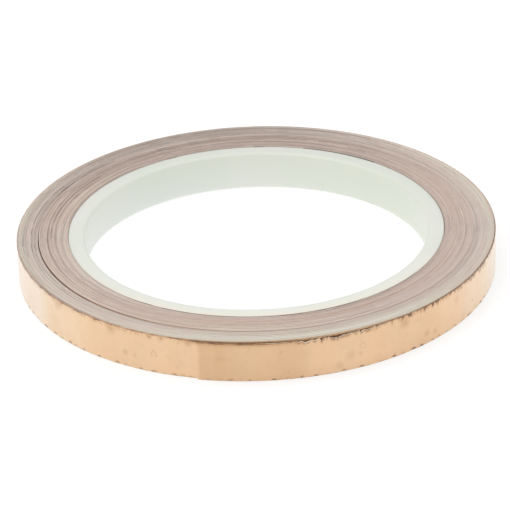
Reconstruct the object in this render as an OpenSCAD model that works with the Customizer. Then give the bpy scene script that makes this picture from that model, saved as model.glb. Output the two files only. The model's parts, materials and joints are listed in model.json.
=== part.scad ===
// Roll of copper foil tape for stained glass work: a long adhesive-backed copper
// strip on a paper release liner, wound copper side out on a white plastic core.
// The strip is drawn as bands of turns, one whole outermost turn and a free end,
// each of the last two in its three layers: liner, adhesive and foil.
// Frame: origin at the centre of the core bore, +Z along the axis of the roll,
// -Y towards the free end. The roll lies flat on z = -strip_w / 2.

/* [Core] */
// radius of the spindle hole, half of 76.2
core_bore_r = 38.1; // [36:0.1:39.5]
// wall thickness of the core
core_wall = 3.7; // [2.5:0.1:6]
// rounding of the two edges of the spindle hole
core_edge_r = 0.8; // [0.3:0.1:1.5]
// rounding of the two outer edges of the core
core_rim_r = 0.2; // [0.1:0.05:0.4]

/* [Strip] */
// width of the tape
strip_w = 9.0; // [4:0.5:13]
// thickness of the copper foil
foil_t = 0.035; // [0.025:0.005:0.05]
// thickness of the adhesive under the foil
adhesive_t = 0.025; // [0.02:0.005:0.05]
// thickness of the paper release liner
liner_t = 0.05; // [0.04:0.005:0.1]

/* [Winding] */
// build of the turns next to the core
inner_band_t = 4.7; // [2:0.1:8]
// build of the second band of turns
middle_band_t = 1.85; // [1:0.05:4]
// build of the turns outside the crescent gap
outer_band_t = 3.3; // [1:0.1:6]
// build of the last band under the outermost turn
last_band_t = 1.05; // [0.5:0.05:3]
// widest opening of the crescent gap between the middle and outer bands
crescent_max = 0.35; // [0.1:0.05:0.6]
// direction in which the crescent gap opens
crescent_az = 225; // [0:5:355]
// how far the middle band has crept up the roll
middle_step = 0.10; // [0:0.02:0.3]
// how far the last band has crept up the roll
last_step = 0.20; // [0:0.02:0.4]
// how far the outermost turn has crept up the roll
lap_step = 0.12; // [0:0.02:0.3]

/* [Free end] */
// direction of the line where the free end leaves the roll
tail_root_az = 302; // [270:1:330]
// length of the free end
tail_len = 43; // [20:1:50]
// how far from the root the foil is still stuck to the liner and doesn't peel
peel_from = 12; // [6:1:16]
// how much slacker than the roll the free end curls, so that its tip stands off
tail_slack_r = 0.5; // [0.3:0.1:20]
// height of the free end's lower edge above the plane the roll lies on
tail_step = 0.04; // [0.02:0.01:0.2]

/* [Hidden] */
$fn = 180;
hair = 0.03;
slack = 0.06;
floor_z = -strip_w / 2;
core_r = core_bore_r + core_wall;
inner_r0 = core_r + hair;
inner_r1 = inner_r0 + inner_band_t;
middle_r0 = inner_r1 + hair;
middle_r1 = middle_r0 + middle_band_t;
crescent_min = 0.05;
shift = (crescent_max - crescent_min) / 2;
shift_x = shift * cos(crescent_az);
shift_y = shift * sin(crescent_az);
outer_r0 = middle_r1 + crescent_min + shift;
outer_r1 = outer_r0 + outer_band_t;
last_r0 = outer_r1 + hair;
last_r1 = last_r0 + last_band_t;
strip_t = liner_t + adhesive_t + foil_t;
// the outermost turn grows by its own thickness and the slack over one turn
lap_growth = strip_t + slack;
lap_r = last_r1 + hair;
root_x = cos(tail_root_az);
root_y = sin(tail_root_az);
// the free end is an arc that leaves the end of the outermost turn on its tangent
tail_out_r = lap_r + lap_growth + strip_t;
tail_curl_r = tail_out_r + tail_slack_r;
tail_cx = shift_x - tail_slack_r * root_x;
tail_cy = shift_y - tail_slack_r * root_y;
// degrees of the free end's arc per millimetre of its length
tail_deg = 180 / PI / tail_curl_r;

// a corner cutter that leaves a quarter round of radius r in the corner at the origin
module corner(r) {
    difference() {
        translate([-1, -1]) square([1 + r, 1 + r]);
        translate([r, r]) circle(r);
    }
}

// a flat ring between two radii
module ring(r0, r1, z0, h) {
    translate([0, 0, z0])
        rotate_extrude()
            translate([r0, 0]) square([r1 - r0, h]);
}

// one layer of the outermost turn, wound clockwise as seen from above: two half
// turns about two centres, so the radius has grown by lap_growth where it ends
module lap_layer(r, t) {
    translate([shift_x, shift_y, floor_z + lap_step])
        rotate([0, 0, tail_root_az])
            union() {
                rotate([0, 0, 180])
                    rotate_extrude(angle = 180)
                        translate([r, 0]) square([t, strip_w]);
                translate([lap_growth / 2, 0, 0])
                    rotate_extrude(angle = 180)
                        translate([r + lap_growth / 2, 0]) square([t, strip_w]);
            }
}

// one layer of the free end, t thick and depth below its copper face, between
// two distances from the root
module tail_layer(depth, t, from, to) {
    translate([tail_cx, tail_cy, floor_z + tail_step])
        rotate([0, 0, tail_root_az - to * tail_deg])
            rotate_extrude(angle = (to - from) * tail_deg)
                translate([tail_curl_r - depth - t, 0]) square([t, strip_w]);
}

// white plastic core, rounded at the edges of the spindle hole
module core() {
    color([0.93, 0.94, 0.90])
        rotate_extrude()
            difference() {
                translate([core_bore_r, floor_z]) square([core_wall, strip_w]);
                translate([core_bore_r, floor_z]) corner(core_edge_r);
                translate([core_bore_r, -floor_z]) mirror([0, 1]) corner(core_edge_r);
                translate([core_r, floor_z]) mirror([1, 0]) corner(core_rim_r);
                translate([core_r, -floor_z]) mirror([1, 0]) mirror([0, 1]) corner(core_rim_r);
            }
}

// the turns next to the core
module winding_inner() {
    color([0.74, 0.66, 0.60])
        ring(inner_r0, inner_r1, floor_z, strip_w);
}

// the second band of turns, crept up a little
module winding_middle() {
    color([0.76, 0.68, 0.62])
        ring(middle_r0, middle_r1, floor_z + middle_step, strip_w);
}

// the turns outside the crescent gap, off centre by half of its opening
module winding_outer() {
    color([0.75, 0.67, 0.61])
        translate([shift_x, shift_y, 0])
            ring(outer_r0, outer_r1, floor_z, strip_w);
}

// the last turns under the outermost one
module winding_last() {
    color([0.79, 0.74, 0.69])
        translate([shift_x, shift_y, 0])
            ring(last_r0, last_r1, floor_z + last_step, strip_w);
}

// outermost turn, paper liner
module lap_liner() {
    color([0.86, 0.82, 0.74])
        lap_layer(lap_r, liner_t);
}

// outermost turn, adhesive
module lap_adhesive() {
    color([0.80, 0.74, 0.62])
        lap_layer(lap_r + liner_t, adhesive_t);
}

// outermost turn, copper foil
module lap_foil() {
    color([0.84, 0.62, 0.46])
        lap_layer(lap_r + liner_t + adhesive_t, foil_t);
}

// free end, paper liner
module tail_liner() {
    color([0.86, 0.82, 0.74])
        tail_layer(foil_t + adhesive_t, liner_t, slack, tail_len);
}

// free end, adhesive of the stretch next to the root
module tail_root_adhesive() {
    color([0.80, 0.74, 0.62])
        tail_layer(foil_t, adhesive_t, slack, peel_from);
}

// free end, copper foil of the stretch next to the root
module tail_root_foil() {
    color([0.84, 0.62, 0.46])
        tail_layer(0, foil_t, slack, peel_from);
}

// free end, adhesive of the stretch that peels
module tail_adhesive() {
    color([0.80, 0.74, 0.62])
        tail_layer(foil_t, adhesive_t, peel_from + slack, tail_len);
}

// free end, copper foil of the stretch that peels
module tail_foil() {
    color([0.84, 0.62, 0.46])
        tail_layer(0, foil_t, peel_from + slack, tail_len);
}

core();
winding_inner();
winding_middle();
winding_outer();
winding_last();
lap_liner();
lap_adhesive();
lap_foil();
tail_liner();
tail_root_adhesive();
tail_root_foil();
tail_adhesive();
tail_foil();
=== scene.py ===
import json
import math

import bpy
import numpy as np
from mathutils import Matrix, Vector


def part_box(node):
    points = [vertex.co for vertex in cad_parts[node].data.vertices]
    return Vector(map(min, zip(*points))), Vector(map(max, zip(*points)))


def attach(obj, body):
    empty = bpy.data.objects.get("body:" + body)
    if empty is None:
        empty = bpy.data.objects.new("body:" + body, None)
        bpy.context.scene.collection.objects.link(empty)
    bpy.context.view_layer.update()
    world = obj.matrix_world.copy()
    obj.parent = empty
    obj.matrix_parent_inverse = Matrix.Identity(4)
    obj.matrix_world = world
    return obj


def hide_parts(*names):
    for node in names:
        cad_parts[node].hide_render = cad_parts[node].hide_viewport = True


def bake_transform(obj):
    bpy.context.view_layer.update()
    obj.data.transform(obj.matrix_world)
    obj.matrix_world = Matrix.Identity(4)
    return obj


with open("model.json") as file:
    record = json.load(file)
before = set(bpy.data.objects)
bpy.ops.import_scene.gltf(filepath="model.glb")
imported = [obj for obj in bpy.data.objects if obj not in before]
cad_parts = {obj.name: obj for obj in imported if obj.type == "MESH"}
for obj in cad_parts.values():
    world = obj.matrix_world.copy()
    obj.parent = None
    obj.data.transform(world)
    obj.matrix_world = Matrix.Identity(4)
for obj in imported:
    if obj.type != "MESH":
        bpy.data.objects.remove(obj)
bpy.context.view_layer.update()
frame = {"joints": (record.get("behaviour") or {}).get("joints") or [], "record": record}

# -----
# Sizes. Lengths are in millimetres up to the moment a mesh is made; angles are
# in degrees, counted round +Z from +X. The strip is wound clockwise from the
# core outwards, seen from above, and its free end points to -X in front.
MM = 0.001
FOIL_T = 0.035
ADHESIVE_T = 0.025
LINER_T = 0.05
STRIP_T = FOIL_T + ADHESIVE_T + LINER_T
HAIR = 0.03                # play between one band of turns and the next
CRESCENT_MIN = 0.05        # the crescent gap where it is closed
LAP_GROWTH = STRIP_T + 0.06    # how far out the outermost turn has run where it ends
TAIL_LEN = 43.0            # length of the free end
TAIL_SLACK_R = 0.5         # how much slacker than the roll it curls
PEEL_FROM = 12.0           # how far from its root the foil stays stuck to the liner
TURN_STEPS = 112           # stations along one turn of the winding
UV_PER_MM = 0.01
TURN_UV = 3.0              # how far the UVs run on over one turn of the winding
SEED = 20
LATTICE = 257              # cells after which grid_noise repeats
LATTICE_START = 300        # the cell in which the origin lies


def mm_box(node):
    """Lowest and highest corner of a CAD node in millimetres."""
    low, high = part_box(node)
    return np.array(low) / MM, np.array(high) / MM


def circle_of(node):
    """Centre and outer radius of a CAD ring in millimetres."""
    low, high = mm_box(node)
    return (low[:2] + high[:2]) / 2, (high[0] - low[0]) / 2


core_low, core_high = mm_box("core")
CORE_R = (core_high[0] - core_low[0]) / 2
HALF_W = core_high[2]
STRIP_W = core_high[2] - core_low[2]
FLOOR_Z = core_low[2]
BORE_R = next(m for m in frame["record"]["mounts"] if m["name"] == "core_bore")["dims"]["r_mm"]
HINGE = {j["name"]: np.array(j["pos_m"][:2]) / MM for j in frame["joints"]}

outer_centre, outer_r1 = circle_of("winding_outer")
middle_r1 = circle_of("winding_middle")[1]
inner_r1 = circle_of("winding_inner")[1]
last_r1 = circle_of("winding_last")[1]
ROOT_AZ = math.degrees(math.atan2(*(HINGE["tail_lift"] - outer_centre)[::-1])) % 360
LAP_R = last_r1 + HAIR
LAP_Z = mm_box("lap_foil")[0][2]
TAIL_Z = mm_box("tail_foil")[0][2]
TAIL_R = LAP_R + LAP_GROWTH + STRIP_T + TAIL_SLACK_R
LAP_LEN = math.tau * (LAP_R + LAP_GROWTH / 2)


# -----
# Small helpers
def direction(degrees):
    """Unit vectors in the plane for angles in degrees."""
    a = np.radians(degrees)
    return np.stack([np.cos(a), np.sin(a)], -1)


def smooth(x, start, end):
    """0 before start, 1 after end, with soft shoulders."""
    t = np.clip((np.asarray(x, float) - start) / (end - start), 0, 1)
    return t * t * (3 - 2 * t)


def bump(x, centre, half_width):
    """1 at the centre, 0 beyond half_width on either side, smooth."""
    t = np.clip(np.abs(np.asarray(x, float) - centre) / half_width, 0, 1)
    return (1 - t * t) ** 2


def az_bump(az, centre, half_width):
    """The same for an angle in degrees, the short way round the circle."""
    return bump((np.asarray(az) - centre + 180) % 360 - 180, 0, half_width)


def wave_noise(x, seed, wavelength, octaves=3):
    """Smooth seeded noise of one variable, about -1 to 1."""
    rng = np.random.default_rng(SEED * 1000 + seed)
    total = np.zeros_like(np.asarray(x, float))
    for octave in range(octaves):
        for _ in range(5):
            k = math.tau / wavelength * 2 ** octave * rng.uniform(0.6, 1.5)
            total += np.sin(k * x + rng.uniform(0, math.tau)) * 0.45 / 1.7 ** octave
    return total


def grid_noise(x, y, seed, size_x, size_y):
    """Smooth seeded noise of two variables on a lattice of the given cell sizes, -1 to 1."""
    rng = np.random.default_rng(SEED * 1000 + 500 + seed)
    table = rng.uniform(-1, 1, (LATTICE, LATTICE))
    fx, fy = x / size_x + LATTICE_START, y / size_y + LATTICE_START
    ix, iy = np.floor(fx).astype(int), np.floor(fy).astype(int)
    tx, ty = fx - ix, fy - iy
    tx, ty = tx * tx * (3 - 2 * tx), ty * ty * (3 - 2 * ty)

    def at(a, b):
        return table[a % LATTICE, b % LATTICE]

    near = at(ix, iy) * (1 - tx) + at(ix + 1, iy) * tx
    far = at(ix, iy + 1) * (1 - tx) + at(ix + 1, iy + 1) * tx
    return near * (1 - ty) + far * ty


# -----
# Mesh building
scene = bpy.context.scene


def add_object(name, data):
    """An object in the scene that holds the given data."""
    obj = bpy.data.objects.new(name, data)
    scene.collection.objects.link(obj)
    return obj


def make_object(name, verts, faces, uvs=None, smooth_angle=None):
    """A mesh object from points in millimetres. uvs has one row for each point."""
    mesh = bpy.data.meshes.new(name)
    mesh.from_pydata((np.asarray(verts) * MM).tolist(), [], [tuple(f) for f in faces])
    if uvs is not None:
        layer = mesh.uv_layers.new(name="strip")
        corner = np.empty(len(mesh.loops), np.int32)
        mesh.loops.foreach_get("vertex_index", corner)
        layer.data.foreach_set("uv", np.asarray(uvs, np.float32)[corner].ravel())
    if smooth_angle is not None:
        mesh.shade_smooth()
        mesh.set_sharp_from_angle(angle=math.radians(smooth_angle))
    mesh.validate()
    return add_object(name, mesh)


def grid_faces(rows, cols, base=0, flip=False):
    """Quads of a grid of points stored row by row."""
    r, c = np.meshgrid(np.arange(rows - 1), np.arange(cols - 1), indexing="ij")
    a = base + r * cols + c
    quad = np.stack([a, a + 1, a + cols + 1, a + cols], -1).reshape(-1, 4)
    return quad[:, ::-1] if flip else quad


def sheet_solid(name, outer, inner, uv_s, uv_z):
    """A thin closed sheet between two grids of points, both (stations, rows, 3).
    Stations run along the strip towards its tip, rows run up."""
    n, m = outer.shape[:2]
    verts = np.concatenate([outer.reshape(-1, 3), inner.reshape(-1, 3)])
    faces = [grid_faces(n, m), grid_faces(n, m, n * m, flip=True)]
    along, up = np.arange(n - 1) * m, np.arange(m - 1)
    lengths = (along, m, False), (along + m - 1, m, True)
    ends = (up, 1, True), (up + (n - 1) * m, 1, False)
    for start, step, flip in lengths + ends:
        end = start + step
        quad = np.stack([start, end, end + n * m, start + n * m], -1)
        faces.append(quad[:, ::-1] if flip else quad)
    uv = np.stack(np.broadcast_arrays(uv_s[:, None], uv_z[None, :]), -1) * UV_PER_MM
    uv = np.concatenate([uv.reshape(-1, 2)] * 2)
    return make_object(name, verts, np.concatenate(faces), uv, smooth_angle=50)


# -----
# The winding: one long spiral of three layers, in four bands of turns
# Turns that have crept up or stand apart: radius, middle and half width of the
# stretch in degrees, rise of the turn, and the gap left on its outer side.
CREPT_TURNS = [
    (51.7, 186, 62, 0.12, 0.10),
    (49.9, 190, 58, 0.10, 0.09),
    (48.2, 205, 110, 0.12, 0.00),
    (46.4, 178, 60, 0.10, 0.09),
    (44.6, 186, 50, 0.08, 0.04),
    (43.0, 168, 34, 0.06, 0.08),
    (45.9, 262, 36, 0.05, 0.06),
    (44.0, 300, 30, 0.04, 0.04),
    (50.9, 268, 26, 0.05, 0.03),
    (46.9, 332, 40, 0.05, 0.03),
    (49.3, 352, 42, 0.05, 0.03),
    (47.2, 28, 38, 0.05, 0.04),
    (50.6, 60, 44, 0.05, 0.03),
    (44.9, 82, 46, 0.06, 0.04),
    (48.9, 118, 40, 0.06, 0.05),
    (46.0, 136, 36, 0.06, 0.06),
    (51.3, 132, 34, 0.06, 0.05),
]
RANDOM_CREPT = 70
# the part of the crescent gap that shows: middle and half width in degrees, widest opening
CRESCENT = (210, 57, 0.22)
LEAST_RISE = 0.03          # keeps the turns, which wander up and down, off the table
SETTLING_TURNS = 12        # turns that close up towards the middle band where no gap shows
PRESSED = 0.93             # share of a loose strip's thickness that one turn takes up
LAYER_SHARE = 0.9          # share of its loose thickness that is drawn, so turns stay apart
GAP_SHARE = 0.9            # share of a band's slack that its gaps may take together


def crept_turns():
    """The named crept turns and many slighter ones, seeded."""
    rng = np.random.default_rng(SEED)
    ranges = ((CORE_R + 0.4, last_r1 - 0.2), (0, 360), (8, 36), (-0.05, 0.06), (0.0, 0.05))
    more = [tuple(rng.uniform(*span) for span in ranges) for _ in range(RANDOM_CREPT)]
    return CREPT_TURNS + more


def crescent_closing(az, r0):
    """How far the first turn outside the crescent lies inside the radius r0, so that
    only the gap that shows stays open between it and the middle band."""
    middle, half, opening = CRESCENT
    off_centre = direction(az) @ outer_centre
    return r0 - (middle_r1 - off_centre) - HAIR - opening * az_bump(az, middle, half)


def band_path(r0, r1, centre, turns, first_turn):
    """Where the strip runs in one band, which fills r0 to r1: every station's direction
    and inner radius from the centre and its rise, the centre, and every station's turn."""
    steps = turns * TURN_STEPS
    t = np.arange(steps + 1) / TURN_STEPS
    az = (ROOT_AZ - 360 * t) % 360
    thick = STRIP_T * PRESSED
    slack = (r1 - r0) - thick * turns
    gap = np.zeros((turns + 1, steps + 1))
    rise = np.zeros(steps + 1)
    for radius, middle, half, up, opening in crept_turns():
        if r0 <= radius < r1:
            j = min(int((radius - r0) / (r1 - r0) * turns), turns - 1)
            env = az_bump(az, middle, half)
            gap[j] += env * opening
            middle_t = j + ((ROOT_AZ - middle) % 360) / 360
            rise += up * bump(t, middle_t, half / 360)
    total = gap[:turns].sum(0)
    gap[:turns] *= np.minimum(1, slack * GAP_SHARE / np.maximum(total, 1e-6))
    even = (slack - gap[:turns].sum(0)) / turns
    before = np.concatenate([np.zeros((1, steps + 1)), np.cumsum(gap[:turns], 0)])
    whole = np.minimum(t.astype(int), turns - 1)
    part = t - whole
    at = np.arange(steps + 1)
    r = r0 + thick * t + even * t + before[whole, at] + part * gap[whole, at]
    if centre is outer_centre and r0 < outer_r1:
        r -= crescent_closing(az, r0) * (1 - smooth(t, 0, SETTLING_TURNS))
    strip_at = first_turn + t
    rise += 0.035 * wave_noise(strip_at, 1, 6.0) + 0.018 * wave_noise(strip_at, 2, 0.9)
    return az, r, np.maximum(rise + LEAST_RISE, 0.002), centre, t


def wound_layer(name, path, z0, depth0, depth1, recess):
    """One layer of the strip along a band's path, between two distances from the
    strip's inner face, as a closed four-sided ribbon. recess draws both its edges in."""
    az, r, rise, centre, t = path
    out = direction(az)
    n = len(t)
    rings = []
    low, high = recess, STRIP_W - recess
    for depth, edge in ((depth0, low), (depth1, low), (depth1, high), (depth0, high)):
        xy = centre + out * (r + depth)[:, None]
        rings.append(np.column_stack([xy, z0 + rise + edge]))
    verts = np.stack(rings, 1).reshape(-1, 3)
    i = np.arange(n - 1) * 4
    sides = ((0, 1), (1, 2), (2, 3), (3, 0))
    faces = [np.stack([i + a, i + b, i + 4 + b, i + 4 + a], -1) for a, b in sides]
    end = (n - 1) * 4
    faces += [np.array([[3, 2, 1, 0]]), np.array([[end, end + 1, end + 2, end + 3]])]
    top = STRIP_W * UV_PER_MM
    uv = np.column_stack([np.repeat(t * TURN_UV, 4), np.tile([0, 0, top, top], n)])
    return make_object(name, verts, np.concatenate(faces), uv)


ADHESIVE_RECESS = 0.05     # how far the adhesive's edges lie inside the liner's
# each layer, where it starts and ends from the strip's inner face, and its recess
LAYERS = (
    ("liner", 0.0, LINER_T, 0.0),
    ("adhesive", LINER_T, LINER_T + ADHESIVE_T, ADHESIVE_RECESS),
    ("foil", LINER_T + ADHESIVE_T, STRIP_T, 0.01),
)


def winding_bands():
    """The four bands: CAD node, inner and outer radius, centre, and number of turns."""
    middle = np.zeros(2)
    outer_r0 = middle_r1 + CRESCENT_MIN + np.linalg.norm(outer_centre)
    rows = (
        ("winding_inner", CORE_R + HAIR, inner_r1, middle),
        ("winding_middle", inner_r1 + HAIR, middle_r1, middle),
        ("winding_outer", outer_r0, outer_r1, outer_centre),
        ("winding_last", outer_r1 + HAIR, last_r1, outer_centre),
    )
    return [(*row, round((row[2] - row[1]) / STRIP_T)) for row in rows]


def winding(bands):
    """All the bands, each in its three layers."""
    made = {}
    turn = 0
    for node, r0, r1, centre, turns in bands:
        z0 = mm_box(node)[0][2]
        path = band_path(r0, r1, centre, turns, turn)
        turn += turns
        for layer, start, end, recess in LAYERS:
            name = f"{node}_{layer}"
            depths = start * LAYER_SHARE, end * LAYER_SHARE
            made[name] = wound_layer(name, path, z0, *depths, recess)
            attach(made[name], "roll")
            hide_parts(node)
    return made


# -----
# The outermost turn and the free end: the strip's last length, one sheet in
# three layers. Places along it are millimetres from the root of the free end,
# positive towards the tip, so the outermost turn runs from -LAP_LEN to 0.
EDGE_BAND = 0.75           # how far from its edges the foil is dented
LAP_SPACING = 0.24         # between stations along the outermost turn's foil
BACKING_SPACING = 0.5      # and along its adhesive and liner
TAIL_SPACING = 0.14        # between stations along the free end
SPLIT = 0.004              # from a place where two sheets meet to the end of each
TAIL_CENTRE = outer_centre - TAIL_SLACK_R * direction(ROOT_AZ)
TAIL_DEG = math.degrees(1 / TAIL_R)
CRUMPLED = (12.0, 17.0)    # middle and half length of the crumpled stretch of the edge
LEANING = (31, 13, 0.24)   # middle and half length of the stretch that leans out, and how far
CLIMB = (-14, 6)           # where the strip changes from the outermost turn's level to its own


def scattered(seed, spacing, half, cut, height, strength):
    """Seeded dents along one edge of the whole last length. Each row is a dent: place,
    half width, depth of the cut, height and slant of its dark streak, and darkness."""
    rng = np.random.default_rng(SEED + seed)
    places = np.arange(-LAP_LEN, TAIL_LEN, spacing)
    count = len(places)
    deep = rng.random(count) < 0.15
    return np.column_stack([
        places + rng.uniform(-0.45, 0.45, count) * spacing,
        rng.uniform(*half, count),
        rng.uniform(*cut, count) * np.where(deep, 2.2, 1.0),
        rng.uniform(*height, count),
        rng.uniform(-0.5, 0.5, count),
        rng.uniform(*strength, count),
    ])


TOP_DENTS = scattered(
    11, spacing=1.15, half=(0.2, 0.5), cut=(0.02, 0.2), height=(0.6, 1.9), strength=(0.5, 1.4)
)
BOTTOM_DENTS = scattered(
    12, spacing=2.7, half=(0.45, 1.15), cut=(0.02, 0.12), height=(0.4, 0.85), strength=(0.2, 0.75)
)
FLAKE_SPACING = 1.5        # between the slivers of foil folded out along the crumpled edge


def crumpled_flakes():
    """Slivers along the top edge where it is crumpled, seeded. Each row is a sliver:
    place, half length, where its tallest point lies, height, and angle it is folded out by."""
    rng = np.random.default_rng(SEED + 13)
    middle, half = CRUMPLED
    rows = []
    for place in np.arange(1.5, middle + half, FLAKE_SPACING):
        near = float(bump(place, middle, half)) ** 0.5
        rows.append((
            place + rng.uniform(-0.5, 0.5),
            rng.uniform(0.7, 1.9),
            rng.uniform(0.1, 0.9),
            rng.uniform(0.22, 0.66) * near,
            rng.uniform(50, 95),
        ))
    return rows


FLAKES = crumpled_flakes()


def edge_folds(s):
    """How much of the foil's top edge is folded out at each place, and by what angle."""
    height, angle = np.zeros_like(s), np.zeros_like(s)
    for place, half, tallest, tall, bend in FLAKES:
        x = (s - place) / half
        rest = np.where(x < tallest, (1 + x) / (1 + tallest), (1 - x) / (1 - tallest))
        shape = np.sin(np.clip(rest, 0, 1) * math.pi / 2) ** 1.2
        more = shape * tall > height
        height = np.where(more, shape * tall, height)
        angle = np.where(more, bend * smooth(shape, 0, 0.6), angle)
    height = height * smooth(s, 0.1, 0.7)
    return height, np.radians(angle)


def folded(s, from_top):
    """What the folds do to points from_top mm below the top edge: how far they stick
    out, how far they drop, the slope of the sheet there, and how much above a fold they are."""
    height, angle = edge_folds(s)
    above = np.clip(height[:, None] - from_top, 0, None)
    bend = angle[:, None] * smooth(above, 0, 0.08)
    return above * np.sin(bend), above * (1 - np.cos(bend)), bend, smooth(above, 0.01, 0.06)


def cut_depth(s, dents):
    """How deep the edge is cut at each place."""
    depth = np.zeros_like(s)
    for place, half, cut, _, _, _ in dents:
        near = np.abs(s - place) < half
        depth[near] = np.maximum(depth[near], cut * (1 - np.abs(s[near] - place) / half))
    return depth


def top_cuts(s):
    """How deep the nicks go into the top edge."""
    return cut_depth(s, TOP_DENTS) * (1 - 0.85 * front_share(s))


def streak_wear(s, from_edge, dents):
    """The dark streaks of the dents: 1 at the edge, fading away from it."""
    total = np.zeros_like(from_edge)
    for place, half, _, height, slant, strength in dents:
        near = np.abs(s - place) < half + 0.5 * height
        up = np.clip(1 - from_edge[near] / height, 0, 1)
        side = (s[near, None] - place - slant * from_edge[near]) / (half * (0.45 + 0.55 * up))
        streak = np.minimum(1.5 * strength * up ** 0.8 * np.clip(1 - side ** 2, 0, 1), 1.1)
        total[near] = np.maximum(total[near], streak)
    return total


def last_length(s):
    """The plan of the last length's copper face at places s: points, and unit vectors
    that point out of it."""
    turned = 360 * (1 + np.minimum(s, 0) / LAP_LEN)
    outward = direction(np.where(s >= 0, ROOT_AZ - s * TAIL_DEG, ROOT_AZ - turned))
    late = (turned > 180)[:, None] * LAP_GROWTH / 2
    lap = outer_centre + late * direction(ROOT_AZ) + (LAP_R + STRIP_T + late) * outward
    return np.where((s >= 0)[:, None], TAIL_CENTRE + TAIL_R * outward, lap), outward


def base_z(s):
    """Height of the lower edge: the outermost turn and the free end lie in two steps."""
    return LAP_Z + (TAIL_Z - LAP_Z) * smooth(s, *CLIMB)


def lean(s, up):
    """How far the free end leans out, most at its upper edge; up is 0 to 1."""
    middle, half, furthest = LEANING
    return furthest * bump(s, middle, half) * up ** 2


def edge_rows(fine):
    """Shares of the width at which the rows of a sheet lie, close together at its edges."""
    if not fine:
        return np.array([0, 0.02, 0.5, 0.98, 1])
    near_edge = [0, 0.05, 0.11, 0.18, 0.27, 0.38, 0.52, 0.72]
    lower_half = np.array(near_edge + [1.0, 1.4, 1.85, 2.35, 2.9, 3.45, 4.0, 4.5])
    return np.concatenate([lower_half, STRIP_W - lower_half[-2::-1]]) / STRIP_W


def stations(start, end, spacing):
    """Places along the strip from start to end, about spacing apart."""
    return np.linspace(start, end, round((end - start) / spacing) + 1)


def sheet_grids(s, z, out, bend, depths):
    """The points of a sheet at each of the depths under its copper face: it stands
    out from its plan by out, at the height z, and is bent outwards there by bend."""
    plan, outward = last_length(s)
    grids = []
    for depth in depths:
        xy = plan[:, None] + outward[:, None] * (out - depth * np.cos(bend))[..., None]
        level = z + depth * np.sin(bend)
        grids.append(np.concatenate([xy, level[..., None]], -1))
    return grids


def foil_sheet(name, start, end, spacing):
    """The copper foil between two places: nicked, burred and dented along its edges."""
    s = stations(start, end, spacing)
    rows = edge_rows(True)
    top_nick = top_cuts(s)
    bottom_nick = cut_depth(s, BOTTOM_DENTS)
    crumple = bump(s, *CRUMPLED)
    # nothing stands out under the free end or just past its tip
    free = smooth(s + LAP_LEN, TAIL_LEN + 3, TAIL_LEN + 11)
    burr = 0.5 + 0.5 * wave_noise(s, 21, 2.2, 4)
    ragged = wave_noise(s, 22, 0.9, 3)
    top_cut = top_nick * (0.8 + 0.5 * crumple) + 0.012 * ragged + 0.05 * crumple * (1 + ragged)
    top_cut = np.maximum(top_cut, 0)
    bottom_cut = np.maximum(bottom_nick + 0.012 * (1 + wave_noise(s, 23, 1.3, 3)), 0)
    width = STRIP_W - top_cut - bottom_cut
    z = (base_z(s) + bottom_cut)[:, None] + rows[None] * width[:, None]
    from_top = (1 - rows[None]) * width[:, None]
    from_bottom = rows[None] * width[:, None]
    near_top = 1 - smooth(from_top, 0, EDGE_BAND)
    near_bottom = 1 - smooth(from_bottom, 0, EDGE_BAND)
    curl = (0.02 + 0.06 * crumple) * np.clip(burr, 0, 1.2) + 0.10 * top_nick
    curl_low = 0.02 * np.clip(0.5 + wave_noise(s, 24, 2.6, 3), 0, 1) + 0.10 * bottom_nick
    out = (curl * free)[:, None] * near_top + (curl_low * free)[:, None] * near_bottom
    stand, drop, bend, flap = folded(s, from_top)
    out, z = out + stand, z - drop
    pillow = 0.006 * (1 + grid_noise(s[:, None], z, 1, 7.0, 9.0)) * free[:, None]
    out = out + pillow * smooth(from_top, 0, 1.5) * smooth(from_bottom, 0, 1.5)
    out = out + lean(s[:, None], rows[None])
    obj = sheet_solid(name, *sheet_grids(s, z, out, bend, (0.0, FOIL_T)), s, rows * STRIP_W)
    # how dark the copper is: rubbed edges and dents, with painted shadow along the top edge in
    # front and under the folds
    worn_and_shaded = np.maximum(foil_wear_and_shade(s, from_top, from_bottom), fold_shadow_and_grime(s, from_top))
    # the flaps folded out get a painted highlight: less dark, and pale
    for layer, value in (
        ("wear_and_shade", worn_and_shaded * (1 - 0.9 * flap)),
        ("stain", foil_stains(s, z)),
        ("pale", np.maximum(copper_painted_light(s, z), 0.9 * flap)),
    ):
        stored = obj.data.attributes.new(layer, "FLOAT", "POINT")
        stored.data.foreach_set("value", np.tile(value.ravel(), 2).astype(np.float32))
    return obj


def fold_shadow_and_grime(s, from_top):
    """How dark the foil is just below its folds, 0 to 1: painted shadow and grime."""
    height = edge_folds(s)[0][:, None]
    below = from_top - height
    crease = np.maximum(bump(below, 0.28, 0.30), 0.5 * (1 - smooth(below, 0.3, 1.1)))
    return 0.8 * crease * smooth(height, 0.10, 0.35)


def azimuth_at(s):
    """Direction of a place on the last length, in degrees."""
    return (ROOT_AZ - np.where(s >= 0, s * TAIL_DEG, 360 * s / LAP_LEN)) % 360


def front_share(s):
    """1 in front, where the top edge is darkened by painted shadow but hardly nicked, and 0
    elsewhere.
    """
    az = azimuth_at(s)
    return smooth(az, 249, 254) * (1 - smooth(az, 274, 282))


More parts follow.
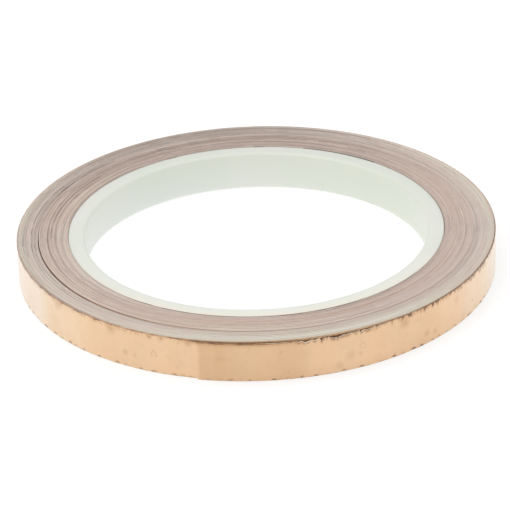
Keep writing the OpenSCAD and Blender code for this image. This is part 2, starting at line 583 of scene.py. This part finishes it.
def foil_wear_and_shade(s, from_top, from_bottom):
    """0 on clean copper to 1 where it is dark: along the edges and at dents. Both edges have
    more dark ticks at the right, and the top edge a haze at the left and in front. In front the
    dark band and its haze are painted shadow; at the left they are partly a rubbed edge and
    partly painted shadow of the gap behind."""
    az = azimuth_at(s)
    left = az_bump(az, 226, 46) * (s < 0)
    front = front_share(s)
    ticked = smooth(az, 298, 306) * (1 - smooth(az, 345, 354))
    reach = 0.12 + 0.07 * wave_noise(s, 31, 1.1, 3) + 0.05 * wave_noise(s, 32, 9.0, 2)
    reach = np.clip(reach, 0.03, None) * (1 - 0.5 * front)
    # wider in front, where the dark band is painted shadow, and at the left, where it is partly
    # rubbed edge and partly painted shadow
    reach += 0.10 * left + 0.33 * front + 0.08 * ticked
    low = np.clip(0.06 + 0.05 * wave_noise(s, 33, 1.6, 3), 0.01, None)
    top = 1 - smooth(from_top / reach[:, None], 0.6, 1.3)
    bottom = 1 - smooth(from_bottom / low[:, None], 0.5, 1.3)
    # stronger in front, where it is painted shadow
    strength = 0.60 + 0.25 * wave_noise(s, 34, 5.0, 2) * (1 - 0.6 * front) + 0.29 * front
    strength -= 0.3 * az_bump(az, 5, 40) + 0.07 * left
    low_strength = np.clip(0.4 + 0.3 * wave_noise(s, 35, 4.0, 2), 0.1, 1)
    patchy = np.clip(1 + 0.9 * wave_noise(s, 36, 3.5, 3), 0.2, 1.8)
    # the haze is painted shade in front, partly painted shade at the left, and grime at the right
    haze = np.maximum(0.40 * front, np.maximum(0.24 * left, 0.26 * ticked) * patchy)
    haze = haze[:, None] * (1 - smooth(from_top, 0.35, 1.35))
    streaks = streak_wear(s, from_top, TOP_DENTS) * (0.30 + 0.85 * ticked)[:, None]
    specks = streak_wear(s, from_bottom, BOTTOM_DENTS) * (1 + 0.3 * ticked)[:, None]
    band = np.maximum(top * np.clip(strength, 0.2, 1)[:, None], bottom * low_strength[:, None])
    wear_and_shade = np.maximum(np.maximum(band, haze), np.maximum(streaks, specks))
    # beneath the free end, only what shows behind its folds is darkened, as painted shadow
    under = s + LAP_LEN
    painted_shadow_behind_folds = smooth(from_top, 0.12, 0.2) * (1 - smooth(from_top, 0.6, 1.2))
    painted_shadow_behind_folds = 0.95 * painted_shadow_behind_folds * bump(under, *CRUMPLED)[:, None] ** 0.3
    return np.where((under < TAIL_LEN - 0.5)[:, None], painted_shadow_behind_folds, wear_and_shade)


def copper_painted_light(s, z):
    """How pale the copper is, 0 to 1: a painted reflection of the white studio makes the
    outermost turn pale at the left and right, and painted shade makes the free end darker.
    """
    az = azimuth_at(s)
    # painted reflection: pale at the left and right of the outermost turn
    lap = 0.46 + 0.46 * az_bump(az, 190, 60) + 0.43 * az_bump(az, 352, 46)
    # painted shade: the free end darker
    tail = 0.06 + 0.32 * (1 - smooth(s, 13, 24)) + 0.14 * bump(s, 30, 8)
    tail += 0.3 * smooth(s, TAIL_LEN - 0.9, TAIL_LEN)
    join = smooth(s, -16, 0)
    pale = np.where(s >= 0, tail, lap * (1 - join) + 0.38 * join)[:, None]
    return np.clip(pale + 0.09 * grid_noise(s[:, None], z, 5, 6.0, 12.0), 0, 1)


# Marks on the copper: place along the strip, height, size, and strength; a ring
# where the last value is true.
FOIL_MARKS = [
    (-281.2, 0.0, 0.75, 0.55, True),
    (-274.3, -1.1, 0.85, 0.50, False),
    (-276.6, -1.3, 0.60, 0.35, False),
    (-286.5, -2.2, 0.70, 0.20, False),
    (-270.8, 3.7, 1.50, 0.60, False),
    (-254.5, 3.6, 1.60, 0.50, False),
    (-280.3, 3.9, 0.60, 0.90, False),
    (-283.0, 4.0, 0.55, 0.90, False),
    (-289.0, 3.8, 1.00, 0.60, False),
    (10.5, -1.0, 1.50, 0.30, False),
    (7.6, 0.6, 0.80, 0.25, True),
    (-2.8, 2.9, 1.50, 0.55, False),
    (-9.0, -1.9, 0.90, 0.50, False),
    (-11.6, -2.4, 0.70, 0.45, False),
    (-26.0, -1.4, 0.50, 0.60, False),
    (-19.0, 2.0, 1.20, 0.25, False),
]
RANDOM_MARKS = 60


def foil_stains(s, z):
    """Faint finger marks and spots on the copper, 0 to 1."""
    rng = np.random.default_rng(SEED + 77)
    marks = list(FOIL_MARKS)
    ranges = ((-LAP_LEN + TAIL_LEN + 7, TAIL_LEN), (-4, 4), (0.15, 1.2), (0.1, 0.35))
    for _ in range(RANDOM_MARKS):
        marks.append((*(rng.uniform(*span) for span in ranges), rng.random() < 0.2))
    total = np.zeros_like(z)
    for place, height, size, strength, ring in marks:
        near = np.abs(s - place) < size * 2
        far = np.hypot(s[near, None] - place, z[near] - height) / size
        mark = bump(far, 0.8, 0.3) if ring else bump(far, 0, 1.2)
        total[near] = np.maximum(total[near], mark * strength)
    return total


def backing_sheet(name, start, end, spacing, depths, recess):
    """Adhesive or liner between two places and two depths under the copper face."""
    s = stations(start, end, spacing)
    rows = edge_rows(start > 0)
    uneven = 0.012 * wave_noise(s, 41, 2.0, 3) - recess
    width = STRIP_W + 2 * uneven - 1.3 * top_cuts(s) - 0.03
    z = (base_z(s) - uneven)[:, None] + rows[None] * width[:, None]
    stand, drop, bend, _ = folded(s, (1 - rows[None]) * width[:, None])
    out, z = lean(s[:, None], rows[None]) + stand, z - drop
    return sheet_solid(name, *sheet_grids(s, z, out, bend, depths), s, rows * STRIP_W)


# where the adhesive and the liner lie under the copper face
GLUED = (FOIL_T, FOIL_T + ADHESIVE_T)
LINED = (FOIL_T + ADHESIVE_T, STRIP_T)
GLUE_SHORT = 0.03          # how far short of the tip the adhesive ends


def outermost_turn():
    """Foil, adhesive and liner of the outermost whole turn."""
    ends = (-LAP_LEN, -SPLIT)
    glued = (*ends, BACKING_SPACING, GLUED, ADHESIVE_RECESS)
    lined = (*ends, BACKING_SPACING, LINED, 0.0)
    return {
        "lap_foil": foil_sheet("foil_outermost_turn", *ends, LAP_SPACING),
        "lap_adhesive": backing_sheet("adhesive_outermost_turn", *glued),
        "lap_liner": backing_sheet("liner_outermost_turn", *lined),
    }


def free_end():
    """The free end: the liner whole, and foil and adhesive in two stretches, split where the
    foil stops being stuck to the liner."""
    stuck = (SPLIT, PEEL_FROM, TAIL_SPACING)
    loose = (PEEL_FROM + SPLIT, TAIL_LEN, TAIL_SPACING)
    loose_glue = (PEEL_FROM + SPLIT, TAIL_LEN - GLUE_SHORT, TAIL_SPACING)
    lined = (SPLIT, TAIL_LEN, TAIL_SPACING, LINED, 0.0)
    glued = (GLUED, ADHESIVE_RECESS)
    return {
        "tail_liner": backing_sheet("liner_free_end", *lined),
        "tail_root_adhesive": backing_sheet("adhesive_free_end_stuck", *stuck, *glued),
        "tail_root_foil": foil_sheet("foil_free_end_stuck", *stuck),
        "tail_adhesive": backing_sheet("adhesive_free_end_peeling", *loose_glue, *glued),
        "tail_foil": foil_sheet("foil_free_end_peeling", *loose),
    }


# -----
# The core: a turned ring with soft edges at the spindle hole
CORE_STEPS = 288           # steps round the core
BORE_STEPS = 12            # and down its bore
FACE_STEPS = 4             # and across each flat face
CORE_EDGE_R = 0.8          # rounding at the spindle hole
CORE_RIM_R = 0.2           # rounding of the outer edges
SINK = 0.015               # how far the bore's wall has sunk in, and how much that varies


def core_ring():
    """The plastic core as a lathed mesh with rounded edges and a slightly sunk bore."""
    inner, outer = BORE_R + CORE_EDGE_R, CORE_R - CORE_RIM_R
    across = outer - inner
    bore_end, rim_end = HALF_W - CORE_EDGE_R, HALF_W - CORE_RIM_R

    def quarter(cx, cz, r, start, steps):
        turned = [math.radians(start + 90 * k / steps) for k in range(steps + 1)]
        return [(cx + r * math.cos(a), cz + r * math.sin(a)) for a in turned]

    profile = np.array([
        *((BORE_R, bore_end * (1 - 2 * k / BORE_STEPS)) for k in range(1, BORE_STEPS)),
        *quarter(inner, -bore_end, CORE_EDGE_R, 180, 8),
        *((inner + across * k / FACE_STEPS, -HALF_W) for k in range(1, FACE_STEPS)),
        *quarter(outer, -rim_end, CORE_RIM_R, 270, 4),
        *quarter(outer, rim_end, CORE_RIM_R, 0, 4),
        *((outer - across * k / FACE_STEPS, HALF_W) for k in range(1, FACE_STEPS)),
        *quarter(inner, bore_end, CORE_EDGE_R, 90, 8),
    ])
    az = np.arange(CORE_STEPS) * 360 / CORE_STEPS
    r, z = profile[None, :, 0], profile[None, :, 1]
    uneven = grid_noise(az[:, None] * 0.7, z, 9, 14.0, 3.0)
    r = r + SINK * (1 + uneven) * (1 - smooth(r, BORE_R + 0.2, CORE_R - 0.4))
    out = direction(az)[:, None]
    verts = np.concatenate([out * r[..., None], np.broadcast_to(z, r.shape)[..., None]], -1)
    n, m = r.shape
    i, j = np.meshgrid(np.arange(n), np.arange(m), indexing="ij")
    ni, nj = (i + 1) % n, (j + 1) % m
    faces = np.stack([i * m + j, i * m + nj, ni * m + nj, ni * m + j], -1).reshape(-1, 4)
    return make_object("core_ring", verts.reshape(-1, 3), faces[:, ::-1], smooth_angle=40)


# -----
# Materials. Node settings that are lengths are in metres.
def set_inputs(tree, node, inputs):
    """Sets a node's inputs, by name or number, to values or links them to sockets."""
    for name, value in inputs.items():
        if isinstance(value, bpy.types.NodeSocket):
            tree.links.new(value, node.inputs[name])
        else:
            node.inputs[name].default_value = value


def new_node(tree, kind, inputs):
    """A shader node with its inputs set."""
    node = tree.nodes.new("ShaderNode" + kind)
    set_inputs(tree, node, inputs)
    return node


def material(name, colour, roughness, metallic=0.0):
    """A Principled material. Returns it, its node tree and its Principled node."""
    mat = bpy.data.materials.new(name)
    mat.use_nodes = True
    tree = mat.node_tree
    bsdf = tree.nodes["Principled BSDF"]
    plain = {"Base Color": (*colour, 1), "Roughness": roughness, "Metallic": metallic}
    set_inputs(tree, bsdf, plain)
    return mat, tree, bsdf


def noise(tree, vector, scale, detail=3.0, roughness=0.55, stretch=None):
    """A noise texture's factor, in object space, optionally stretched along the axes."""
    if stretch is not None:
        vector = new_node(tree, "Mapping", {"Scale": stretch, "Vector": vector}).outputs["Vector"]
    inputs = {"Scale": scale, "Detail": detail, "Roughness": roughness, "Vector": vector}
    return new_node(tree, "TexNoise", inputs).outputs["Fac"]


def remap(tree, value, low, high, to_low=0.0, to_high=1.0):
    """A value mapped from one range to another, clamped."""
    ends = {"From Min": low, "From Max": high, "To Min": to_low, "To Max": to_high}
    return new_node(tree, "MapRange", {**ends, "Value": value}).outputs["Result"]


def mix(tree, factor, a, b, blend="MIX"):
    """A colour mix by a socket's value; a and b are sockets or colours."""
    node = tree.nodes.new("ShaderNodeMix")
    node.data_type = "RGBA"
    node.blend_type = blend
    tree.links.new(factor, node.inputs["Factor"])
    for name, value in (("A", a), ("B", b)):
        socket = next(i for i in node.inputs if i.name == name and i.type == "RGBA")
        if isinstance(value, tuple):
            socket.default_value = (*value, 1)
        else:
            tree.links.new(value, socket)
    return next(o for o in node.outputs if o.type == "RGBA")


def tinted(tree, tone, colour, value, low, high, most=1.0, blend="MIX"):
    """A tone mixed with a colour, from not at all where value is low to most where high."""
    return mix(tree, remap(tree, value, low, high, 0, most), tone, colour, blend)


def dimmed(colour, factor):
    return tuple(c * factor for c in colour)


def math_node(tree, operation, *values):
    """The result of a Math node; values are sockets or numbers."""
    node = new_node(tree, "Math", dict(enumerate(values)))
    node.operation = operation
    return node.outputs[0]


def product(tree, first, *others):
    """A socket's value times each of the others, sockets or numbers."""
    for other in others:
        first = math_node(tree, "MULTIPLY", first, other)
    return first


def vector_math(tree, operation, vector, other=(0, 0, 0)):
    node = new_node(tree, "VectorMath", {0: vector, 1: other})
    node.operation = operation
    return node.outputs["Value" if operation in ("LENGTH", "DOT_PRODUCT") else "Vector"]


def add_bump(tree, bsdf, height, distance, normal=None):
    """A bump of the given height in metres, on top of another one if given."""
    below = {} if normal is None else {"Normal": normal}
    inputs = {"Strength": 1.0, "Distance": distance, "Height": height, **below}
    bumped = new_node(tree, "Bump", inputs).outputs["Normal"]
    tree.links.new(bumped, bsdf.inputs["Normal"])
    return bumped


def object_space(tree):
    return tree.nodes.new("ShaderNodeTexCoord").outputs["Object"]


def attribute(tree, name):
    node = tree.nodes.new("ShaderNodeAttribute")
    node.attribute_name = name
    return node.outputs["Fac"]


def edge_material(name, colour, roughness, metallic, grain, depth):
    """The cut edges of one layer in the winding: one tone, with the grain of its cut."""
    mat, tree, bsdf = material(name, colour, roughness, metallic)
    fine = noise(tree, object_space(tree), grain, 4.0)
    rough = remap(tree, fine, 0.3, 0.7, roughness - 0.12, roughness + 0.12)
    set_inputs(tree, bsdf, {"Roughness": rough})
    add_bump(tree, bsdf, fine, depth)
    return mat


# Copper from tan, which paints shade, to pale, which paints reflection and highlight: place on
# the ramp, colour
COPPER_RAMP = (
    (0.0, (0.67, 0.43, 0.235)),
    (0.35, (0.785, 0.53, 0.32)),
    (0.6, (0.85, 0.585, 0.36)),
    (0.8, (0.865, 0.65, 0.435)),
    (1.0, (0.885, 0.77, 0.65)),
)
TARNISH_AND_SHADE = (0.50, 0.275, 0.125)
GRIME_AND_SHADOW = (0.16, 0.072, 0.030)


def copper_material(name):
    """Copper foil: rolled, lightly tarnished, dark along its edges and at its dents, with painted
    shade along its top edge in front and under its folds, and painted reflection and highlight
    where it is pale.
    """
    mat, tree, bsdf = material(name, COPPER_RAMP[1][1], 0.36, 1.0)
    set_inputs(tree, bsdf, {"Coat Weight": 1.0, "Coat Roughness": 0.3})
    space = object_space(tree)
    ramp = new_node(tree, "ValToRGB", {"Fac": attribute(tree, "pale")})
    stops = ramp.color_ramp.elements
    for stop, (place, colour) in zip(stops, (COPPER_RAMP[0], COPPER_RAMP[-1])):
        stop.position = place
        stop.color = (*colour, 1)
    for place, colour in COPPER_RAMP[1:-1]:
        stops.new(place).color = (*colour, 1)
    broad = noise(tree, space, 120, 3.0)
    upright = noise(tree, space, 260, 2.0, stretch=(1, 1, 0.08))
    blotch = noise(tree, space, 700, 5.0, 0.65)
    tone = ramp.outputs["Color"]
    for colour, value, low, high, most in (
        ((0.93, 0.95, 0.97), broad, 0.35, 0.65, 0.5),
        ((0.97, 0.90, 0.84), upright, 0.45, 0.75, 0.5),
        ((0.82, 0.74, 0.66), blotch, 0.55, 0.8, 0.35),
        ((0.62, 0.50, 0.42), attribute(tree, "stain"), 0, 1, 0.9),
    ):
        tone = tinted(tree, tone, colour, value, low, high, most, "MULTIPLY")
    speckle = noise(tree, space, 3800, 4.0, 0.7)
    ragged = remap(tree, speckle, 0.3, 0.7, -0.22, 0.22)
    # how dark: rubbed and grimy edges and dents together with painted shadow
    amount = math_node(tree, "ADD", ragged, attribute(tree, "wear_and_shade"))
    tone = tinted(tree, tone, TARNISH_AND_SHADE, amount, 0.08, 0.6, 0.85)
    tone = tinted(tree, tone, GRIME_AND_SHADOW, amount, 0.62, 1.05, 0.95)
    smear = noise(tree, space, 420, 4.0, 0.6)
    clean = remap(tree, smear, 0.3, 0.7, 0.30, 0.44)
    worn_and_shaded = remap(tree, amount, 0.1, 1.0, 0, 0.25)
    rough = math_node(tree, "ADD", worn_and_shaded, clean)
    set_inputs(tree, bsdf, {"Base Color": tone, "Roughness": rough})
    ripple = noise(tree, space, 330, 2.0, stretch=(1, 1, 0.25))
    rolled = noise(tree, space, 9000, 3.0, stretch=(1, 1, 6))
    first = add_bump(tree, bsdf, ripple, 0.00004)
    add_bump(tree, bsdf, rolled, 0.0000015, normal=first)
    return mat


def paper_material(name, colour):
    """Release paper: pale and slightly glazed, with fibres and a faint mottle."""
    mat, tree, bsdf = material(name, colour, 0.6)
    space = object_space(tree)
    fibre = noise(tree, space, 5200, 5.0, 0.7, stretch=(1, 1, 2.5))
    mottle = noise(tree, space, 500, 3.0)
    tone = tinted(tree, dimmed(colour, 0.93), colour, mottle, 0.35, 0.65)
    tone = tinted(tree, tone, dimmed(colour, 0.82), fibre, 0.5, 0.75, 0.3)
    rough = remap(tree, fibre, 0.3, 0.7, 0.5, 0.7)
    set_inputs(tree, bsdf, {"Base Color": tone, "Roughness": rough})
    add_bump(tree, bsdf, fibre, 0.000006)
    return mat


def adhesive_material(name, colour):
    """Pressure-sensitive adhesive: a glossy amber film that has caught some dust."""
    mat, tree, bsdf = material(name, colour, 0.25)
    set_inputs(tree, bsdf, {"Coat Weight": 0.3, "Coat Roughness": 0.15})
    space = object_space(tree)
    orange_peel = noise(tree, space, 2200, 3.0)
    dust = noise(tree, space, 6500, 5.0, 0.75)
    tone = tinted(tree, dimmed(colour, 0.85), colour, orange_peel, 0.3, 0.7)
    tone = tinted(tree, tone, (0.16, 0.12, 0.09), dust, 0.58, 0.75, 0.6)
    rough = remap(tree, orange_peel, 0.3, 0.7, 0.18, 0.36)
    set_inputs(tree, bsdf, {"Base Color": tone, "Roughness": rough})
    add_bump(tree, bsdf, orange_peel, 0.000012)
    return mat


def plastic_material(name, colour):
    """Moulded ivory plastic: soft sheen, slight flow marks and rubs. The bore is greener, and
    paler low down at the left as painted light; the face has a painted creamy highlight in
    front and painted shade at the back."""
    mat, tree, bsdf = material(name, colour, 0.38)
    reach = {"Subsurface Radius": (0.0030, 0.0028, 0.0022), "Subsurface Scale": 1.0}
    set_inputs(tree, bsdf, {"Subsurface Weight": 0.25, **reach})
    space = object_space(tree)
    flow = noise(tree, space, 45, 3.0, stretch=(1, 1, 0.4))
    cool = (colour[0] * 0.955, colour[1] * 0.985, colour[2] * 0.965)
    tone = tinted(tree, cool, colour, flow, 0.35, 0.65)
    radius = vector_math(tree, "LENGTH", vector_math(tree, "MULTIPLY", space, (1, 1, 0)))
    in_bore = remap(tree, radius, BORE_R * MM, (BORE_R + 1.3) * MM, 1, 0)
    on_face = remap(tree, radius, (BORE_R + 0.2) * MM, (BORE_R + 1.0) * MM, 0, 1)
    at_rim = remap(tree, radius, (CORE_R - 2.4) * MM, (CORE_R - 0.3) * MM, 0, 0.9)
    x, y, z = (vector_math(tree, "DOT_PRODUCT", space, axis) for axis in np.eye(3))
    left = remap(tree, x, -0.036, 0.03, 1, 0.15)
    near = remap(tree, y, -0.038, -0.01, 1, 0.1)
    far = remap(tree, y, -0.02, 0.036, 0, 1)
    low = remap(tree, z, -0.0043, 0.004, 1, 0.1)
    for amount, colour_there, blend in (
        (in_bore, (0.945, 0.955, 0.93), "MULTIPLY"),
        # painted light: paler and bluer low down at the left of the bore
        (product(tree, low, left, in_bore), (1.06, 1.06, 1.15), "MULTIPLY"),
        # painted highlight: the face paler and creamier in front
        (product(tree, near, on_face, 0.22), (0.97, 0.965, 0.92), "MIX"),
        # painted highlight: a cream band at the rim in front
        (product(tree, near, at_rim), (0.97, 0.91, 0.78), "MIX"),
        # painted shade: the face darker at the back
        (product(tree, far, on_face), (0.925, 0.93, 0.925), "MULTIPLY"),
    ):
        tone = mix(tree, amount, tone, colour_there, blend)
    rub = noise(tree, space, 900, 4.0, 0.7, stretch=(1, 1, 0.15))
    tone = tinted(tree, tone, dimmed(colour, 0.86), rub, 0.62, 0.78, 0.35)
    grain = noise(tree, space, 3000, 3.0)
    rough = remap(tree, grain, 0.3, 0.7, 0.32, 0.46)
    set_inputs(tree, bsdf, {"Base Color": tone, "Roughness": rough})
    first = add_bump(tree, bsdf, flow, 0.00008)
    add_bump(tree, bsdf, grain, 0.000004, normal=first)
    return mat


# The cut edges of the winding. Each row is a layer: name, colour, roughness, metallic,
# scale of its grain, and depth of the grain in metres.
EDGES = (
    ("liner", (0.86, 0.77, 0.71), 0.75, 0.0, 9000, 0.00001),
    ("adhesive", (0.66, 0.55, 0.48), 0.5, 0.0, 5000, 0.00001),
    ("foil", (0.78, 0.55, 0.45), 0.45, 1.0, 12000, 0.000006),
)
# the six tones that each layer comes in, from dark to light, and the shades between them
# the darkest tone paints shade in gaps and where the winding starts on the core; the lighter ones
# also paint highlights
TONES = (
    (0.34, 0.31, 0.29),
    (0.78, 0.76, 0.74),
    (0.90, 0.89, 0.885),
    (1.00, 1.00, 1.00),
    (1.05, 1.08, 1.07),
    (1.09, 1.20, 1.18),
)
TONE_STEPS = (-3.0, -1.3, -0.45, 0.45, 1.2)
PLAIN_TONE = 3
LIGHTEST = 0.97
# how much paler and greyer the bands get from the core outwards
BAND_TINT = {
    "winding_inner": (1.00, 1.00, 1.00),
    "winding_middle": (1.00, 1.01, 1.01),
    "winding_outer": (1.02, 1.065, 1.08),
    "winding_last": (1.00, 1.035, 1.03),
}
STREAKS = 430
# from which turn, counted from the outside, the turns get paler, and by which they have
OUTER_START, OUTER_FULL = 42, 18
CREPT_HIGHLIGHT = 0.9           # painted highlight on a crept turn, which stands up into the light
CREPT_GAP_SHADE = -0.2           # painted shade and grime on the turn next to it
LEFT_GAP_SHADE = -1.0            # the same at the left, where the gaps are widest
# Broad differences of shade: first turn and the turn after the last (counted from the
# outside if negative), middle and half width in degrees, and shade.
SHADE_SHIFTS = (
    (0, None, 95, 90, -1.5),
    (0, 1, 95, 90, 1.6),
    (0, 3, 100, 75, 1.4),
    # painted shade where the winding meets the core in front
    (0, 4, 275, 85, -1.6),
    (1, 4, 275, 60, -1.2),
    (0, 12, 268, 60, -0.7),
    (-12, None, 172, 46, 1.4),
    (-12, None, 25, 60, 0.5),
    # painted highlight on the lit top edges of the outermost turns in front
    (-5, None, 268, 60, 1.8),
)


def edge_materials(node):
    """The tones of each layer for one band: lighter and darker copies of its material, used also
    as painted highlight and shade.
    """
    made = {}
    for layer, colour, *surface in EDGES:
        made[layer] = []
        for number, tone in enumerate(TONES):
            shade = tuple(
                min(c * t * k, LIGHTEST) for c, t, k in zip(colour, BAND_TINT[node], tone)
            )
            made[layer].append(edge_material(f"{node}_{layer}_edge_{number}", shade, *surface))
    return made


def streak_map(bands):
    """How light or dark each turn is at each station: streaks one to three turns wide
    and up to a third of a turn long, seeded; a painted highlight on each of the named crept
    turns and painted shade and grime on the turn beside it; a line of painted shade where
    the winding starts on the core; and broad differences of shade, some of them painted."""
    rng = np.random.default_rng(SEED + 5)
    turns = sum(band[-1] for band in bands)
    value = np.zeros((turns, TURN_STEPS))
    place = np.arange(TURN_STEPS) * 360 / TURN_STEPS
    az = (ROOT_AZ - place) % 360
    for _ in range(STREAKS):
        turn = rng.integers(0, turns)
        wide = rng.choice([1, 2, 3], p=[0.45, 0.4, 0.15])
        shade = rng.choice([-1, 1]) * rng.uniform(0.4, 1.3)
        on = az_bump(place, rng.uniform(0, 360), rng.uniform(12, 90)) > 0.3
        value[turn : turn + wide, on] += shade
    outer = smooth(np.arange(turns), turns - OUTER_START, turns - OUTER_FULL)[:, None]
    contrast = 0.85 - 0.45 * az_bump(az, 310, 140) + 0.1 * az_bump(az, 170, 60)
    contrast = contrast * (1 - 0.6 * outer * az_bump(az, 282, 62))
    value = (value + rng.normal(0, 0.3, value.shape)) * contrast
    value += 0.5 * (1 - outer) * az_bump(az, 268, 36)
    value += outer * (2.2 * az_bump(az, 283, 70) + 0.7 * az_bump(az, 25, 70))
    # painted shade: a dark line where the winding starts on the core
    value[:4] -= 0.5
    value[0] -= 1.6
    for start, stop, middle, half, shade in SHADE_SHIFTS:
        value[start:stop] += shade * az_bump(az, middle, half)
    flat = value.ravel()
    first = 0
    for _, r0, r1, _, count in bands:
        for radius, middle, half, _, _ in CREPT_TURNS:
            if r0 <= radius < r1:
                turn = first + min(int((radius - r0) / (r1 - r0) * count), count - 1)
                centre = int((turn + ((ROOT_AZ - middle) % 360) / 360) * TURN_STEPS)
                reach = int(0.75 * half / 360 * TURN_STEPS)
                gap_shade = LEFT_GAP_SHADE if 150 < middle < 200 else CREPT_GAP_SHADE
                for shift, shade in ((0, CREPT_HIGHLIGHT), (TURN_STEPS, gap_shade)):
                    start = centre - reach + shift
                    flat[max(start, 0) : start + 2 * reach] += shade
        first += count
    return value


def assign_tones(obj, materials, shade):
    """Gives each stretch of each turn the tone that its shade asks for."""
    for mat in materials:
        obj.data.materials.append(mat)
    tone = np.digitize(shade.ravel(), TONE_STEPS)
    index = np.full(len(obj.data.polygons), PLAIN_TONE, np.int32)
    index[: tone.size * 4] = np.tile(tone, 4)
    obj.data.polygons.foreach_set("material_index", index)


def along(hinge, degrees, length):
    """The point length mm from a hinge, towards the tip, on the strip's tangent there."""
    out = direction(degrees)
    return hinge + length * np.array([out[1], -out[0]])


bands = winding_bands()
ribbons = winding(bands)
shades = streak_map(bands)
first = 0
for node, _, _, _, turns in bands:
    for layer, tones in edge_materials(node).items():
        ribbon = ribbons[f"{node}_{layer}"]
        assign_tones(ribbon, tones, shades[first : first + turns])
    first += turns

copper = copper_material("copper_foil")
paper = paper_material("release_paper", (0.85, 0.74, 0.58))
glue = adhesive_material("adhesive_film", (0.34, 0.20, 0.11))

# what each layer is made of, and its slot after the first word of its node's name
LOOKS = {
    "foil": (copper, "foil_copper"),
    "adhesive": (glue, "adhesive_film"),
    "liner": (paper, "liner_paper"),
}


def dress(piece, node):
    """Gives a sheet of the last length its material."""
    words = node.split("_")
    mat, slot = LOOKS[words[-1]]
    piece.data.materials.append(mat)


for node, piece in outermost_turn().items():
    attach(piece, "roll")
    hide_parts(node)
    dress(piece, node)

for node, piece in free_end().items():
    if node in ("tail_foil", "tail_adhesive"):
        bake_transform(piece)
    else:
        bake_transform(piece)
    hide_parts(node)
    dress(piece, node)

ring = core_ring()
ring.data.materials.append(plastic_material("core_plastic", (0.86, 0.87, 0.80)))
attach(ring, "roll")
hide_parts("core")


# -----
# Floor, light and camera
def make_floor():
    """A white floor just under the roll, slightly luminous, so shadows stay faint."""
    half = 4.0
    corners = [(half * x, half * y, 0) for x, y in ((-1, -1), (1, -1), (1, 1), (-1, 1))]
    mesh = bpy.data.meshes.new("floor")
    mesh.from_pydata(corners, [], [(0, 1, 2, 3)])
    floor = add_object("floor", mesh)
    floor.location.z = FLOOR_Z * MM - 0.00005
    mat, tree, bsdf = material("floor_white", (0.45, 0.45, 0.45), 0.9)
    glow = {"Emission Color": (1, 1, 1, 1), "Emission Strength": 0.65}
    set_inputs(tree, bsdf, {"Specular IOR Level": 0.0, **glow})
    mesh.materials.append(mat)


def make_light(name, location, size, power):
    """A square soft box facing the middle of the roll."""
    light = bpy.data.lights.new(name, "AREA")
    light.shape = "SQUARE"
    light.size = size
    light.energy = power
    lamp = add_object(name, light)
    lamp.location = location
    lamp.rotation_euler = (-Vector(location)).to_track_quat("-Z", "Y").to_euler()


def make_world(strength):
    """An even white light all round."""
    world = bpy.data.worlds.new("studio")
    world.use_nodes = True
    background = world.node_tree.nodes["Background"]
    set_inputs(world.node_tree, background, {"Color": (1, 1, 1, 1), "Strength": strength})
    scene.world = world


def make_camera(distance, elevation, lens, aim_right, aim_up, roll):
    """A camera in front of the roll, distance metres from its centre."""
    e = math.radians(elevation)
    back = Vector((0, -math.cos(e), math.sin(e)))
    right = Vector((1, 0, 0))
    up = back.cross(right)
    target = right * aim_right + up * aim_up
    data = bpy.data.cameras.new("camera")
    data.lens = lens
    data.sensor_width = 36.0
    data.clip_start = 0.01
    data.clip_end = 100
    camera = add_object("camera", data)
    camera.location = back * distance
    aim = (target - camera.location).to_track_quat("-Z", "Y").to_matrix().to_4x4()
    turn = Matrix.Rotation(math.radians(roll), 4, "Z")
    camera.matrix_world = Matrix.Translation(camera.location) @ aim @ turn
    scene.camera = camera


make_floor()
make_world(0.58)
make_light("key", (-0.45, -0.15, 1.1), size=1.0, power=5.0)
make_light("fill", (0.5, 0.4, 1.1), size=1.0, power=2.5)
make_camera(
    distance=0.651, elevation=27.1, lens=205.7, aim_right=-0.00046, aim_up=-0.00228, roll=-1.94
)
scene.view_settings.view_transform = "Standard"
